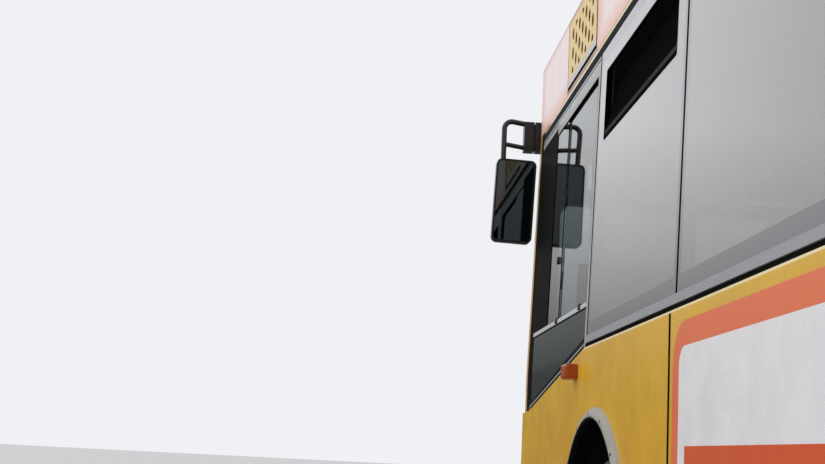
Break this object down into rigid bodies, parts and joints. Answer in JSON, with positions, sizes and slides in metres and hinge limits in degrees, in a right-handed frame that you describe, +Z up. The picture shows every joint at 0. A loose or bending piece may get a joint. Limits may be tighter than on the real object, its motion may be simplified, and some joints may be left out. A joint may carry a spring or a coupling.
{
  "type": "city bus",
  "caption": "Low-floor city bus with three double doors, steered front wheels, twin rear wheels, bonded side windows, roof gas tanks behind fairing boards and a rear engine lid.",
  "frame": {"origin": "on the ground under the middle of the bus, at the bottom centre of its bounding box", "axes": "+Z up, -Y forward (the front), +Y to the rear, +X to the driver's left side"},
  "size_m": [2.9752, 12.0206, 3.276],
  "materials": {
    "body_paint": "faded yellow paint",
    "white_board": "faded white board with an orange edge",
    "roof_paint": "off-white paint",
    "grille_paint": "cream yellow perforated sheet",
    "side_glass": "tinted bonded glass",
    "clear_glass": "clear glass",
    "black_rubber": "black rubber gasket",
    "trim_grey": "grey wheel-arch rubber trim",
    "rail_metal": "grey anodised rail",
    "black_plastic": "black moulded plastic",
    "grey_plastic": "grey moulded plastic",
    "frame_steel": "black chassis paint",
    "floor_covering": "grey vinyl floor",
    "tank_coat": "white tank coating",
    "cast": "cast iron",
    "wheel_steel": "silver-grey wheel paint",
    "tyre": "dusty tyre rubber",
    "lamp_clear": "clear lamp cover",
    "lamp_red": "red lamp cover",
    "lamp_amber": "amber lamp cover",
    "seat_shell": "blue seat shell",
    "seat_fabric": "dark woven seat cover",
    "handrail_yellow": "yellow powder-coated tube"
  },
  "bodies": {
    "body": {"arch_trims": "trim_grey", "cab_partition": "grey_plastic", "cab_window_frame": "black_rubber", "cab_window_glass": "clear_glass", "dashboard": "black_plastic", "destination_display": "black_plastic", "door_headers": "body_paint", "driver_seat": "seat_fabric", "engine": "cast", "engine_podium": "grey_plastic", "fairing_grilles": "grille_paint", "floor": "floor_covering", "front_axle": "cast", "front_bumper": "body_paint", "front_mask": "body_paint", "front_panel": "body_paint", "gas_tanks": "tank_coat", "handrails": "handrail_yellow", "headlamps": "lamp_clear", "mirrors": "black_plastic", "rear_axle": "cast", "rear_wall": "body_paint", "rear_window": "side_glass", "roof": "roof_paint", "roof_fairing": "white_board", "seats": "seat_shell", "side_glass": "side_glass", "side_left": "body_paint", "side_repeaters": "lamp_amber", "side_right_front": "body_paint", "side_right_middle": "body_paint", "side_right_rear": "body_paint", "steering_wheel": "black_plastic", "tail_lamps": "lamp_red", "tank_cradles": "frame_steel", "underframe": "frame_steel", "waist_rails": "rail_metal", "wheelhouses": "grey_plastic", "windscreen": "clear_glass", "wipers": "black_plastic"},
    "steer_left": {"knuckle_left": "cast"},
    "wheel_front_left": {"tyre_front_left": "tyre", "rim_front_left": "wheel_steel"},
    "wheel_rear_left": {"tyre_rear_left": "tyre", "rim_rear_left": "wheel_steel"},
    "steer_right": {"knuckle_right": "cast"},
    "wheel_front_right": {"tyre_front_right": "tyre", "rim_front_right": "wheel_steel"},
    "wheel_rear_right": {"tyre_rear_right": "tyre", "rim_rear_right": "wheel_steel"},
    "door_front_front": {"door_front_front": "black_rubber"},
    "door_front_rear": {"door_front_rear": "black_rubber"},
    "door_middle_front": {"door_middle_front": "black_rubber"},
    "door_middle_rear": {"door_middle_rear": "black_rubber"},
    "door_rear_front": {"door_rear_front": "black_rubber"},
    "door_rear_rear": {"door_rear_rear": "black_rubber"},
    "engine_lid": {"engine_lid": "body_paint"},
    "roof_hatch_front": {"roof_hatch_front": "roof_paint"},
    "roof_hatch_rear": {"roof_hatch_rear": "roof_paint"}
  },
  "joints": [
    {"name": "steer_left", "type": "hinge", "parent": "body", "child": "steer_left", "pos_m": [0.93, -3.39, 0.4785], "axis": [0, 0, 1], "range_deg": [-42, 42]},
    {"name": "spin_front_left", "type": "hinge", "parent": "steer_left", "child": "wheel_front_left", "pos_m": [1.072, -3.39, 0.4785], "axis": [1, 0, 0], "continuous": true},
    {"name": "spin_rear_left", "type": "hinge", "parent": "body", "child": "wheel_rear_left", "pos_m": [0.9165, 2.6, 0.4785], "axis": [1, 0, 0], "continuous": true},
    {"name": "steer_right", "type": "hinge", "parent": "body", "child": "steer_right", "pos_m": [-0.93, -3.39, 0.4785], "axis": [0, 0, 1], "range_deg": [-42, 42]},
    {"name": "spin_front_right", "type": "hinge", "parent": "steer_right", "child": "wheel_front_right", "pos_m": [-1.072, -3.39, 0.4785], "axis": [1, 0, 0], "continuous": true},
    {"name": "spin_rear_right", "type": "hinge", "parent": "body", "child": "wheel_rear_right", "pos_m": [-0.9165, 2.6, 0.4785], "axis": [1, 0, 0], "continuous": true},
    {"name": "door_front_front_hinge", "type": "hinge", "parent": "body", "child": "door_front_front", "pos_m": [-1.175, -5.415, 1.4], "axis": [0, 0, -1], "range_deg": [0, 88]},
    {"name": "door_front_rear_hinge", "type": "hinge", "parent": "body", "child": "door_front_rear", "pos_m": [-1.175, -4.285, 1.4], "axis": [0, 0, 1], "range_deg": [0, 88]},
    {"name": "door_middle_front_hinge", "type": "hinge", "parent": "body", "child": "door_middle_front", "pos_m": [-1.175, -0.965, 1.4], "axis": [0, 0, -1], "range_deg": [0, 88]},
    {"name": "door_middle_rear_hinge", "type": "hinge", "parent": "body", "child": "door_middle_rear", "pos_m": [-1.175, 0.165, 1.4], "axis": [0, 0, 1], "range_deg": [0, 88]},
    {"name": "door_rear_front_hinge", "type": "hinge", "parent": "body", "child": "door_rear_front", "pos_m": [-1.175, 3.535, 1.4], "axis": [0, 0, -1], "range_deg": [0, 88]},
    {"name": "door_rear_rear_hinge", "type": "hinge", "parent": "body", "child": "door_rear_rear", "pos_m": [-1.175, 4.665, 1.4], "axis": [0, 0, 1], "range_deg": [0, 88]},
    {"name": "engine_lid_hinge", "type": "hinge", "parent": "body", "child": "engine_lid", "pos_m": [0, 5.996, 1.33], "axis": [1, 0, 0], "range_deg": [0, 80]},
    {"name": "roof_hatch_front_hinge", "type": "hinge", "parent": "body", "child": "roof_hatch_front", "pos_m": [0, 0.861, 2.9583], "axis": [1, 0, 0], "range_deg": [0, 35]},
    {"name": "roof_hatch_rear_hinge", "type": "hinge", "parent": "body", "child": "roof_hatch_rear", "pos_m": [0, 3.261, 2.9583], "axis": [1, 0, 0], "range_deg": [0, 35]}
  ],
  "couplings": [
    {"joint": "steer_right", "follows": "steer_left", "ratio": 1},
    {"joint": "door_front_rear_hinge", "follows": "door_front_front_hinge", "ratio": 1},
    {"joint": "door_middle_rear_hinge", "follows": "door_middle_front_hinge", "ratio": 1},
    {"joint": "door_rear_rear_hinge", "follows": "door_rear_front_hinge", "ratio": 1}
  ]
}
